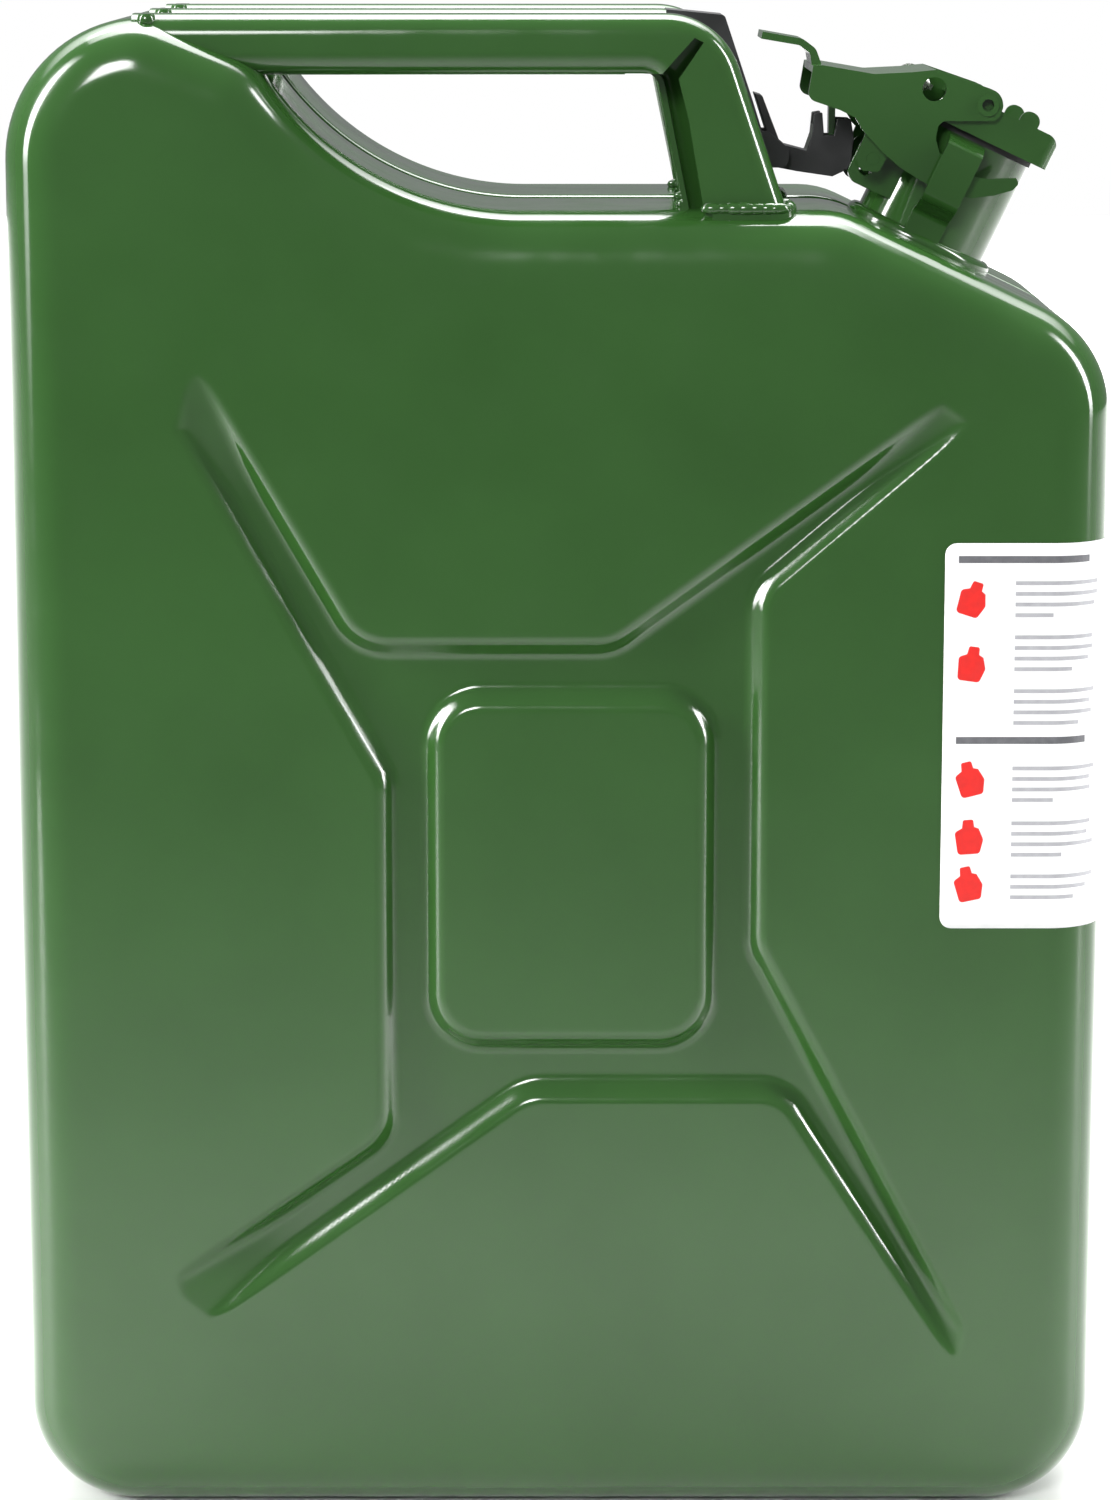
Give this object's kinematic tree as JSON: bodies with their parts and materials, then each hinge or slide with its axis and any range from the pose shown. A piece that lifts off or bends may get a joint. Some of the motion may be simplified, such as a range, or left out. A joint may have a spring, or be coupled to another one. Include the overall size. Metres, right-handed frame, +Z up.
{
  "type": "jerry can",
  "caption": "Flat-sided pressed-steel fuel can with a pressed cross on each face, three carrying bars, and a slanted neck closed by a hinged cam-lever lid.",
  "frame": {"origin": "centre of the footprint, on the floor", "axes": "+Z up, +X towards the side with the filler neck, -Y out of the front panel"},
  "size_m": [0.3423, 0.1653, 0.477],
  "materials": {
    "enamel": "glossy green enamel on pressed steel",
    "black_plastic": "satin black moulded plastic",
    "bright_steel": "bright zinc-plated steel",
    "seal_rubber": "dull black rubber",
    "label_film": "white glossy printed film"
  },
  "bodies": {
    "can": {"shell_front": "enamel", "shell_rear": "enamel", "seam_weld": "enamel", "handle_front": "enamel", "handle_centre": "enamel", "handle_rear": "enamel", "handle_welds": "enamel", "neck_tube": "enamel", "neck_lip": "enamel", "neck_weld": "enamel", "breather_tube": "enamel", "side_bar_front": "enamel", "side_bar_rear": "enamel", "hinge_bracket": "enamel", "latch_clip": "black_plastic", "latch_pivot_pin": "black_plastic", "instruction_label": "label_film"},
    "hinge_pin": {"hinge_pin": "enamel"},
    "lid": {"lid_yoke": "enamel", "lid_plate": "enamel", "lid_seal": "seal_rubber", "lid_stud": "bright_steel"},
    "lever": {"lever": "enamel", "lever_rivets": "enamel", "lever_washers": "bright_steel"},
    "lock_collar": {"lock_pin_collar": "bright_steel"},
    "lock_pin": {"lock_pin": "bright_steel", "lock_pin_ring": "bright_steel"},
    "latch": {"latch_arm": "black_plastic"}
  },
  "joints": [
    {"name": "hinge_slide", "type": "slide", "parent": "can", "child": "hinge_pin", "axis": [-0.4305, 0, -0.9026], "range_m": [0, 0.004]},
    {"name": "lid_hinge", "type": "hinge", "parent": "hinge_pin", "child": "lid", "pos_m": [0.09941, 0, 0.43047], "axis": [0, -1, 0], "range_deg": [0, 67.5]},
    {"name": "lever_swing", "type": "hinge", "parent": "lid", "child": "lever", "pos_m": [0.13541, 0, 0.44742], "axis": [0, 1, 0], "range_deg": [0, 150]},
    {"name": "lock_slide", "type": "slide", "parent": "lever", "child": "lock_collar", "axis": [0, -1, 0], "range_m": [0, 0.048]},
    {"name": "lock_twist", "type": "hinge", "parent": "lock_collar", "child": "lock_pin", "pos_m": [0.11841, 0.06, 0.45243], "axis": [0, 1, 0], "range_deg": [0, 90]},
    {"name": "latch_press", "type": "hinge", "parent": "can", "child": "latch", "pos_m": [0.07, 0, 0.4304], "axis": [0, 1, 0], "range_deg": [0, 8], "stiffness_Nm_per_rad": 0.06, "springref_deg": -17.19}
  ],
  "couplings": [
    {"joint": "lid_hinge", "follows": "lever_swing", "ratio": 0.45},
    {"joint": "hinge_slide", "follows": "lever_swing", "m_per_rad": 0.0015241}
  ]
}
